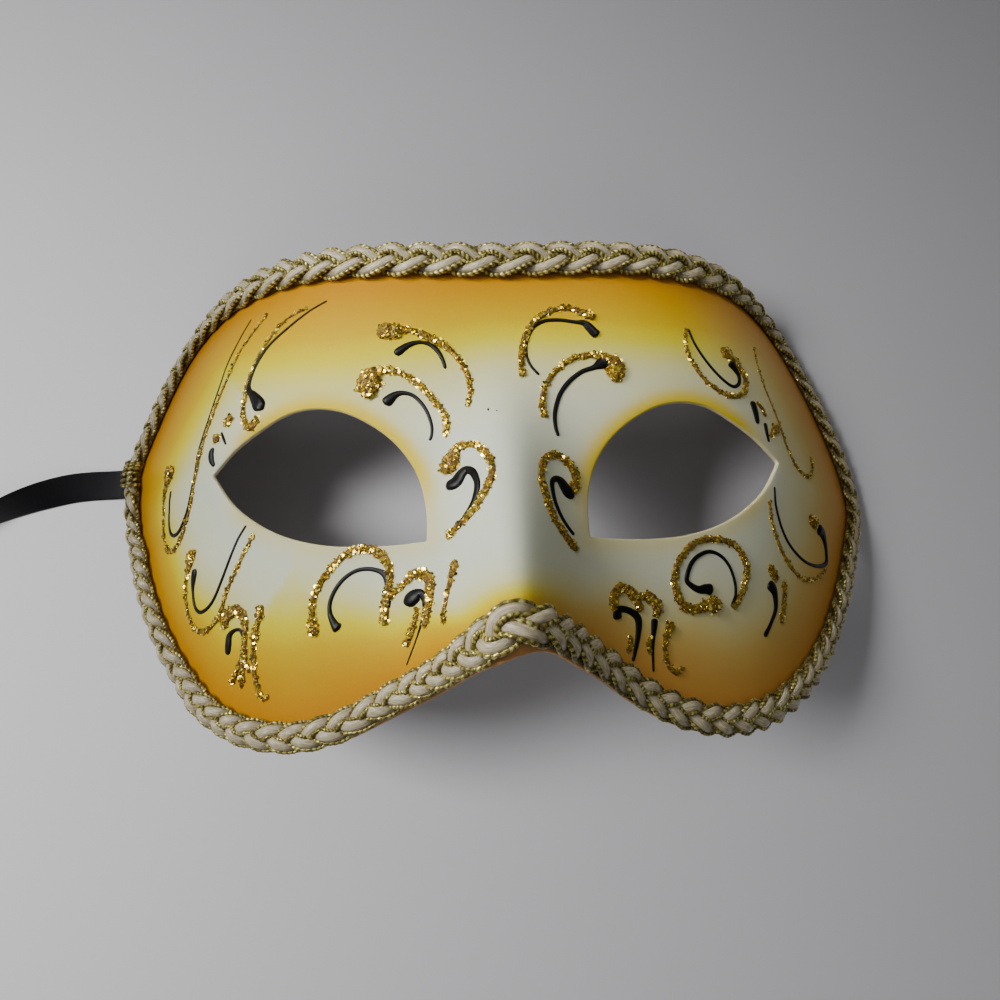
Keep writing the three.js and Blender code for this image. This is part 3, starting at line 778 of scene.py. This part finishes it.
def gold_cord_finish():
    """Metal thread wound on a cord, with painted highlights on its beads, some painted brighter as glints,
    and painted shade between them.
    """
    cord = Finish("braid_gold_cord")
    crest = cord.kept("crest")
    tarnish = cord.cloud(700, 3, 0.6)
    facet = cord.flecks(1300)
    # painted light: the crest of each bead is painted bright, a few beads brighter still as glints, and the
    # hollows between beads are painted dark as shade
    bright = crest * (facet.between(0.25, 0.9) * 0.75 + 0.25)
    bead = cord.ramp(bright, [
        (0.00, (0.06, 0.045, 0.008)),
        (0.25, (0.32, 0.25, 0.05)),
        (0.50, (0.70, 0.60, 0.14)),
        (0.85, (1.00, 0.96, 0.42)),
    ])
    cord.feed("Base Color", cord.blend(tarnish.between(0.5, 0.75) * 0.4, bead, (0.20, 0.15, 0.04)))
    cord.feed("Metallic", 0.25 + bright * 0.35)
    cord.feed("Roughness", 0.42 - bright * 0.26)
    cord.feed("Normal", cord.bump(facet, 0.0004, 0.7))
    return cord.material


def shaded_glue_bed_finish():
    """Dried glue and loose gold lint, seen through the gaps of the plait, made dark as painted shade between
    the strands.
    """
    bed = Finish("braid_glue_and_shade_bed", roughness=0.6, specular_ior_level=0.3)
    lint = bed.cloud(1100, 3, 0.65)
    # painted shade: the bed is dark so that the gaps between the strands look shaded
    bed.feed("Base Color", bed.blend(lint.between(0.4, 0.7), (0.07, 0.052, 0.015), (0.26, 0.20, 0.07)))
    bed.feed("Normal", bed.bump(lint, 0.0003, 0.8))
    return bed.material


def black_satin_finish():
    """Woven black satin, finely ribbed across."""
    satin = Finish("black_satin_ribbon", specular_ior_level=0.3)
    ribs = satin.threads(1400, 8, 2, 0.5)
    warp = satin.threads(30, 60, 2, 0.5)
    satin.feed("Base Color", satin.blend(ribs, (0.005, 0.005, 0.008), (0.016, 0.015, 0.020)))
    satin.feed("Roughness", 0.45 + warp * 0.2)
    satin.feed("Normal", satin.bump(ribs * 0.6 + warp * 0.6, 0.00006, 0.7))
    return satin.material


# The moulded shell
SHELL_CELL = 0.85
BULLNOSE_BANDS = 6


def cut_blank():
    """A flat sheet of small triangles trimmed to the rim and the eye holes."""
    bm = bmesh.new()
    half_width = 96
    half_height = 56
    middle_y = 4
    columns = round(2 * half_width / SHELL_CELL)
    rows = round(2 * half_height / SHELL_CELL)
    bmesh.ops.create_grid(bm, x_segments=columns, y_segments=rows, size=1)
    for v in bm.verts:
        v.co = Vector((v.co.x * half_width, v.co.y * half_height + middle_y, 0))
    bmesh.ops.triangulate(bm, faces=bm.faces[:])
    gaps = {v: material_gap(v.co) for v in bm.verts}
    for edge in bm.edges:
        a, b = edge.verts
        if gaps[a] * gaps[b] < 0:
            share = gaps[a] / (gaps[a] - gaps[b])
            moved = a if share < 0.5 else b
            moved.co = a.co.lerp(b.co, share)
            gaps[moved] = 0
    outside = [f for f in bm.faces if material_gap(f.calc_center_median()) < 0]
    bmesh.ops.delete(bm, geom=outside, context="FACES")
    return bm


def round_the_edges(bm):
    """Gives the sheet its thickness, with a bullnose all round its rim and eye holes."""
    made = bmesh.ops.extrude_face_region(bm, geom=bm.faces[:])["geom"]
    lower = [g for g in made if isinstance(g, bmesh.types.BMVert)]
    bmesh.ops.translate(bm, verts=lower, vec=(0, 0, -SHELL_THICKNESS))
    upright = [e for e in bm.edges if abs(e.verts[0].co.z - e.verts[1].co.z) > SHELL_THICKNESS / 2]
    bmesh.ops.subdivide_edges(bm, edges=upright, cuts=BULLNOSE_BANDS - 1, use_grid_fill=True)
    for v in bm.verts:
        share = -v.co.z / SHELL_THICKNESS
        if 0.01 < share < 0.99:
            outline = min([RIM] + EYES, key=lambda line: abs(line.nearest(v.co)[0]))
            push = outline.outward(outline.nearest(v.co)[1]) * (1 if outline is RIM else -1)
            v.co += push * EDGE_ROUNDING * math.sqrt(math.sin(share * math.pi))
            v.co.z = -SHELL_THICKNESS * (1 - math.cos(share * math.pi)) / 2


def thin_the_edges(bm):
    for v in bm.verts:
        inward = smoothstep(material_gap(v.co) / EDGE_TAPER)
        v.co.z *= EDGE_SHARE + (1 - EDGE_SHARE) * inward


def note_paint(bm):
    """Keeps on each corner what the paint follows: the spray, the halo round the eyes, the depth."""
    layers = {name: bm.verts.layers.float.new(name) for name in ("spray", "halo", "depth")}
    for v in bm.verts:
        gap, i = TRIM.nearest(v.co)
        v[layers["spray"]] = clamp(-gap / read_off(SPRAY_REACH, i / RIM_STEPS), 0, 3)
        eye_gap = min(eye.nearest(v.co)[0] for eye in EYES)
        over = HALO_BELOW + (1 - HALO_BELOW) * smoothstep(v.co.y, *HALO_RISES_Y)
        inward = 1 - smoothstep(abs(v.co.x), *HALO_STOPS_X)
        v[layers["halo"]] = over * inward * math.exp(-(max(eye_gap - HALO_START, 0) / HALO_REACH) ** 2)
        v[layers["depth"]] = -v.co.z


def make_shell(material):
    bm = cut_blank()
    round_the_edges(bm)
    note_paint(bm)
    thin_the_edges(bm)
    for v in bm.verts:
        v.co = formed(v.co)
    whole = bm.verts[:] + bm.edges[:] + bm.faces[:]
    cut = bmesh.ops.bisect_plane(bm, geom=whole, plane_co=(0, 0, 0), plane_no=(0, 0, 1), clear_inner=True)
    rim = [g for g in cut["geom_cut"] if isinstance(g, bmesh.types.BMEdge)]
    bmesh.ops.holes_fill(bm, edges=rim)
    shell = new_piece("papier_mache_shell", bm, material)
    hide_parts("mask_shell")


# Strokes of paint and glitter glue, built flat and then laid over the face
class Stroke:
    """One stroke's line, with a round end at each end."""

    def __init__(self, points):
        self.line = smooth_line(points)
        samples = [self.line(i / 60) for i in range(61)]
        self.length = sum((b.xy - a.xy).length for a, b in zip(samples, samples[1:]))

    def at(self, share):
        """Centre, sideways direction and half width at a share of the way along."""
        here = self.line(share)
        step = 0.004
        ahead = self.line(min(share + step, 1)) - self.line(max(share - step, 0))
        side = Vector((-ahead.y, ahead.x, 0)).normalized()
        half = max(here.z, THINNEST_STROKE)
        from_end = min(share, 1 - share) * self.length
        if from_end < half:
            half *= math.sqrt(max(1 - (1 - from_end / half) ** 2, 0))
        return Vector((here.x, here.y, 0)), side, half


def stroke_height(half, rise):
    return min(half * rise + STROKE_SKIN, STROKE_TALLEST)


def make_strokes(name, strokes, material, rise, lumps):
    """Raised rounded strokes. rise is their height for each unit of half width."""
    bm = bmesh.new()
    for points in strokes:
        stroke = Stroke(points)
        rings = max(12, round(stroke.length / STROKE_RING_STEP))

        def place(along, around):
            eased = (1 - math.cos(along * math.pi)) / 2 if rings < 30 else along
            centre, side, half = stroke.at(eased)
            lump = sum((lumps * size * noise.noise(centre * spots) for spots, size in GLUE_LUMPS), 1)
            angle = around * 2 * math.pi
            height = stroke_height(half, rise) if half > 0.05 else 0
            wide = side * half * lump * math.cos(angle)
            return centre + wide + Vector((0, 0, height * lump * math.sin(angle)))

        sweep(bm, rings, STROKE_SIDES, place)
    spots, size = GLUE_CRUMBS
    for v in bm.verts:
        if lumps:
            v.co += noise.noise_vector(v.co * spots) * size
        v.co = formed(v.co)
    new_piece(name, bm, material)


def make_flakes(material, rise):
    """Six-sided flakes scattered over the gold strokes."""
    dice = random.Random(SEED)
    everything = bmesh.new()
    for points in GOLD_STROKES:
        bm = bmesh.new()
        stroke = Stroke(points)
        area = sum(stroke.at((i + 0.5) / 40)[2] * 2 for i in range(40)) / 40 * stroke.length
        for _ in range(round(area * FLAKES_PER_SQUARE)):
            centre, side, half = stroke.at(dice.random())
            across = dice.uniform(-FLAKE_SPREAD, FLAKE_SPREAD)
            lift = stroke_height(half, rise) * math.sqrt(max(1 - across * across, 0.01))
            place = centre + side * half * across + Vector((0, 0, lift + 0.05))
            lean = dice.uniform(0, FLAKE_LEAN)
            turned = Matrix.Rotation(dice.uniform(0, 2 * math.pi), 4, "Z") @ Matrix.Rotation(lean, 4, "X")
            size = dice.uniform(*FLAKE_SIZES)
            bmesh.ops.create_cone(
                bm, cap_ends=True, segments=6, radius1=size, radius2=size * 0.92, depth=FLAKE_THICKNESS,
                matrix=Matrix.Translation(place) @ turned)
        few = bpy.data.meshes.new("few_flakes")
        bm.to_mesh(few)
        bm.free()
        everything.from_mesh(few)
        bpy.data.meshes.remove(few)
    for v in everything.verts:
        v.co = formed(v.co)
    new_piece("glitter_flakes", everything, material, smooth=False)


# The plait
BRAID_STEPS = 2400


class BraidPath:
    """The braid line by length, with the directions that the plait is laid out in."""

    def __init__(self):
        points = [braid_frame(i / BRAID_STEPS)[0] for i in range(BRAID_STEPS)]
        lengths = [0]
        for here, there in zip(points, points[1:] + points[:1]):
            lengths.append(lengths[-1] + (there - here).length)
        self.length = lengths[-1]
        turns = []
        i = 0
        for k in range(BRAID_STEPS):
            want = self.length * k / BRAID_STEPS
            while lengths[i + 1] < want:
                i += 1
            share = (want - lengths[i]) / (lengths[i + 1] - lengths[i])
            turns.append((i + share) / BRAID_STEPS)
        self.frames = [braid_frame(turn) for turn in turns]
        crossings = [0]
        for turn in turns:
            crossings.append(crossings[-1] + self.length / BRAID_STEPS / read_off(PLAIT_PERIODS, turn))
        fit = round(crossings[-1]) / crossings[-1]
        self.crossings = [crossing * fit for crossing in crossings]

    def step_at(self, share):
        """The step that a share of the way round falls in, and how far along it."""
        along = (share % 1) * BRAID_STEPS
        return int(along) % BRAID_STEPS, along - int(along)

    def crossing(self, share):
        """How many times a strand has crossed over and back by a share of the way round."""
        i, w = self.step_at(share)
        here, there = self.crossings[i], self.crossings[i + 1]
        return here + (there - here) * w + (self.crossings[-1] if share >= 1 else 0)

    def place(self, share, across, height):
        """A place by its share of the way round, its distance outward and its height."""
        i, w = self.step_at(share)
        here, there = self.frames[i], self.frames[(i + 1) % BRAID_STEPS]
        point, outward, up = (a.lerp(b, w) for a, b in zip(here, there))
        return point + outward * across + up * height


PATH = BraidPath()


def strand_middle(share, strand):
    """Where a strand's middle runs, across and above the braid line."""
    rough = PATH.place(share, 0, 0)
    sway = sum(size * noise.noise(rough * spots) for spots, size in PLAIT_SWAYS)
    turn = 2 * math.pi * (PATH.crossing(share) + strand / 3) + sway
    uneven = SWING_UNEVENNESS * noise.noise(rough * SWING_SPOTS + Vector((9, 4 * strand, 2)))
    swing = read_off(PLAIT_SWINGS, share) * (1 + uneven)
    across = swing * math.sin(turn)
    height = PLAIT_MIDDLE - PLAIT_LIFT * math.sin(2 * turn) + read_off(PLAIT_TILTS, share) * (across + 1)
    return turn, across, height


@functools.lru_cache(maxsize=64)
def strand_frame(share, strand):
    """A strand's middle, with its sideways and upward directions, laid out straight."""
    step = 0.15
    turn, across, height = strand_middle(share, strand)
    _, across_next, height_next = strand_middle(share + step / PATH.length, strand)
    along = Vector((step, across_next - across, height_next - height)).normalized()
    side = Vector((-along.y, along.x, -STRAND_LEAN * math.sin(turn) * abs(along.x))).normalized()
    upward = along.cross(side)
    return Vector((share * PATH.length, across, height)), side, upward


def from_straight(point):
    """Bends a point of the plait, laid out straight, round the braid line."""
    return in_frame(PATH.place(point.x / PATH.length, point.y, point.z))


def beaded(radius, crest):
    """A beaded cord's radius: crest is 0 between two beads and 1 on top of one."""
    return radius * (BEAD_HOLLOW + BEAD_SWELL * crest)


def braid_piece(name, bm, material):
    piece = new_piece(name, bm, material)
    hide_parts("edge_braid")


def make_shaded_glue_bed(material):
    """The flat bed of glue that the plait is pressed into, dark as painted shade in the plait's gaps."""
    bm = bmesh.new()

    def place(along, around):
        angle = around * 2 * math.pi
        half_width = read_off(PLAIT_SWINGS, along) + BED_MARGIN
        across = half_width * math.cos(angle)
        height = BED_MIDDLE + BED_HALF_THICKNESS * math.sin(angle)
        return in_frame(PATH.place(along, across, height))

    sweep(bm, round(PATH.length), BED_SIDES, place)
    braid_piece("braid_glue_and_shade_bed", bm, material)


def make_core(strand, material):
    """One strand's satin, which notes where it lies over the others and where it dips under them, for the
    shade painted where it dips.
    """
    bm = bmesh.new()
    over = bm.verts.layers.float.new("over")
    bm.loops.layers.uv.new("UVMap")

    def place(along, around):
        middle, side, upward = strand_frame(along, strand)
        turn, _, _ = strand_middle(along, strand)
        angle = around * 2 * math.pi
        wide = side * (CORE_HALF_WIDTH * math.cos(angle))
        thick = upward * (CORE_HALF_THICKNESS * math.sin(angle))
        return from_straight(middle + wide + thick), 0.5 - 0.5 * math.sin(2 * turn)

    sweep(bm, round(PATH.length / CORE_RING_STEP), CORE_SIDES, place, over)
    braid_piece(f"braid_satin_{strand + 1}", bm, material)


def make_cords(strand, material):
    """The two beaded cords of one strand."""
    bm = bmesh.new()
    layer = bm.verts.layers.float.new("crest")
    rings = round(BEADS_PER_PERIOD * PATH.crossing(1) * RINGS_PER_BEAD)
    for edge in (-1, 1):

        def place(along, around):
            middle, side, upward = strand_frame(along, strand)
            angle = around * 2 * math.pi
            bead = BEADS_PER_PERIOD * PATH.crossing(along)
            crest = 0.5 + 0.5 * math.cos(2 * math.pi * bead + edge * angle)
            radius = beaded(read_off(CORD_RADII, along), crest)
            centre = middle + side * (edge * CORD_PLACE)
            wide = side * (radius * math.cos(angle))
            thick = upward * (radius * math.sin(angle))
            return from_straight(centre + wide + thick), crest

        sweep(bm, rings, CORD_SIDES, place, layer)
    braid_piece(f"braid_gold_{strand + 1}", bm, material)


def make_binding(material):
    """Gold cord wound over the join of the braid, in close turns."""
    bm = bmesh.new()
    layer = bm.verts.layers.float.new("crest")

    def middle_of(along):
        share = BINDING_MIDDLE + (along - 0.5) * BINDING_LENGTH / PATH.length
        angle = 2 * math.pi * BINDING_TURNS * along
        across = BINDING_HALF_WIDTH * math.cos(angle)
        height = PLAIT_MIDDLE + BINDING_HALF_HEIGHT * math.sin(angle)
        return in_frame(PATH.place(share, across, max(height, BINDING_LOWEST)))

    def place(along, around):
        ahead = (middle_of(along + 0.002) - middle_of(along - 0.002)).normalized()
        side = ahead.cross(Vector((0.3, 1, 0))).normalized()
        angle = around * 2 * math.pi
        crest = 0.5 + 0.5 * math.cos(2 * math.pi * BINDING_BEADS * along + angle)
        radius = beaded(BINDING_CORD_RADIUS, crest) * MM
        outward = (side * math.cos(angle) + ahead.cross(side) * math.sin(angle)) * radius
        return middle_of(along) + outward, crest

    sweep(bm, BINDING_RINGS, CORD_SIDES, place, layer)
    close_ends(bm)
    braid_piece("braid_binding", bm, material)


# The ribbon
def ribbon_path():
    """Points about a millimetre apart along the whole ribbon."""
    points = [(x, y, height - BROW_HEIGHT) for x, y, height in RIBBON_END + RIBBON_ROUTE]
    steps = round(COIL_TURNS * COIL_POINTS_PER_TURN)
    for i in range(steps + 1):
        angle = math.radians(COIL_START_ANGLE - 360 * COIL_TURNS * i / steps)
        radius = COIL_OUTER_TURN + (COIL_INNER_TURN - COIL_OUTER_TURN) * i / steps
        x = COIL_CENTRE[0] + radius * math.cos(angle)
        y = COIL_CENTRE[1] + radius * math.sin(angle)
        points.append((x, y, RIBBON_WIDTH / 2 + COIL_GAP_BELOW - BROW_HEIGHT))
    line = smooth_line(points)
    fine = [line(i / ROUTE_SAMPLES) for i in range(ROUTE_SAMPLES + 1)]
    path = [fine[0]]
    travelled = 0
    for before, after in zip(fine, fine[1:]):
        travelled += (after - before).length
        if travelled >= 1:
            path.append(after)
            travelled = 0
    return path


def make_ribbon(material):
    path = ribbon_path()
    last = len(path) - 1
    distances = [0]
    for before, after in zip(path, path[1:]):
        distances.append(distances[-1] + (after - before).length)

    def place(along, around):
        i = min(round(along * last), last)
        ahead = (path[min(i + 1, last)] - path[max(i - 1, 0)]).normalized()
        roll = -smoothstep(distances[i], TWIST_START, TWIST_END) * math.pi / 2
        across = Vector((-ahead.y, ahead.x, 0)).normalized()
        face = ahead.cross(across)
        across.rotate(Matrix.Rotation(roll, 3, ahead))
        face.rotate(Matrix.Rotation(roll, 3, ahead))
        angle = around * 2 * math.pi
        c, s = math.cos(angle), math.sin(angle)
        wide = RIBBON_WIDTH / 2 * math.copysign(abs(c) ** RIBBON_SQUARENESS, c)
        thick = RIBBON_THICKNESS / 2 * math.copysign(abs(s) ** RIBBON_SQUARENESS, s)
        return in_frame(path[i] + across * wide + face * thick)

    bm = bmesh.new()
    bm.loops.layers.uv.new("UVMap")
    sweep(bm, last, RIBBON_SIDES, place)
    close_ends(bm)
    ribbon = new_piece("black_satin_tie", bm, material)
    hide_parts("tie_ribbon", "tie_ribbon_coil")


# Camera, light and floor
def make_camera():
    camera = bpy.data.objects.new("camera", bpy.data.cameras.new("camera"))
    bpy.context.scene.collection.objects.link(camera)
    looks = Vector(CAMERA_LOOKS).normalized()
    right = looks.cross(Vector(CAMERA_UP)).normalized()
    up = right.cross(looks)
    turned = Matrix((right, up, -looks)).transposed().to_4x4()
    camera.matrix_world = Matrix.Translation(in_frame(Vector(CAMERA_PLACE))) @ turned
    camera.data.lens = CAMERA_LENS
    camera.data.sensor_width = 36
    camera.data.clip_start = 0.005
    bpy.context.scene.camera = camera


def make_light(lit, name, place, aim, power, size, spread=180):
    """A soft square light at a place on the face plan, turned to its aim, that falls on one group."""
    data = bpy.data.lights.new(name, "AREA")
    data.energy = power
    data.size = size
    data.spread = math.radians(spread)
    light = bpy.data.objects.new(name, data)
    bpy.context.scene.collection.objects.link(light)
    light.light_linking.receiver_collection = lit
    start = in_frame(Vector(place))
    light.location = start
    light.rotation_mode = "QUATERNION"
    light.rotation_quaternion = (in_frame(Vector(aim)) - start).to_track_quat("-Z", "Y")


def floor_group(name, floor, state):
    """A group that lets a light fall on the floor alone, or on everything but the floor."""
    group = bpy.data.collections.new(name)
    group.objects.link(floor)
    group.collection_objects[0].light_linking.link_state = state
    return group


def make_floor():
    bm = bmesh.new()
    bmesh.ops.create_grid(bm, x_segments=2, y_segments=2, size=3)
    bmesh.ops.translate(bm, verts=bm.verts[:], vec=(0, 0, -0.0001))
    mesh = bpy.data.meshes.new("floor")
    bm.to_mesh(mesh)
    bm.free()
    finish = Finish("pale_floor", base_color=(0.86, 0.84, 0.87), roughness=0.8)
    mesh.materials.append(finish.material)
    floor = bpy.data.objects.new("floor", mesh)
    bpy.context.scene.collection.objects.link(floor)
    return floor


def light_the_world():
    world = bpy.data.worlds.new("studio")
    world.use_nodes = True
    background = world.node_tree.nodes["Background"]
    background.inputs["Color"].default_value = (0.95, 0.97, 1.0, 1)
    background.inputs["Strength"].default_value = 0.07
    bpy.context.scene.world = world


def light_the_mask(floor):
    lit = floor_group("all_but_the_floor", floor, "EXCLUDE")
    make_light(lit, "key", (-279, 52, 160), (-7, -28, 0), 0.058, 0.1, spread=52)
    make_light(lit, "upper_left", (-143, 129, 116), (2, 23, 0), 0.0225, 0.066, spread=42)
    make_light(lit, "over_the_brow", (-77, 170, 218), (-10, 10, 0), 0.12, 0.05)
    make_light(lit, "top_right", (60, 120, 90), (34, 48, 0), 0.0017, 0.04, spread=30)
    make_light(lit, "overhead", (20, -30, 500), (0, 0, 0), 0.30, 0.6)


def light_the_floor(floor):
    lit = floor_group("the_floor_alone", floor, "INCLUDE")
    make_light(lit, "floor_left", (-450, 40, 440), (-190, -20, -45), 0.60, 0.24, spread=66)
    make_light(lit, "floor_front", (0, -500, 480), (-20, -60, -45), 0.35, 0.25)


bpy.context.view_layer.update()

make_camera()
make_ribbon(black_satin_finish())
floor = make_floor()
light_the_world()
light_the_mask(floor)
light_the_floor(floor)

make_shell(painted_finish())
make_strokes("black_scrolls", BLACK_STROKES, black_paint_finish(), rise=0.42, lumps=0)
make_strokes("gold_scrolls", GOLD_STROKES, glitter_glue_finish(), rise=0.5, lumps=0.22)
make_flakes(glitter_flake_finish(), rise=0.5)

satin_core = satin_core_finish()
gold_cord = gold_cord_finish()
make_shaded_glue_bed(shaded_glue_bed_finish())
make_binding(gold_cord)
for strand in range(3):
    make_core(strand, satin_core)
    make_cords(strand, gold_cord)
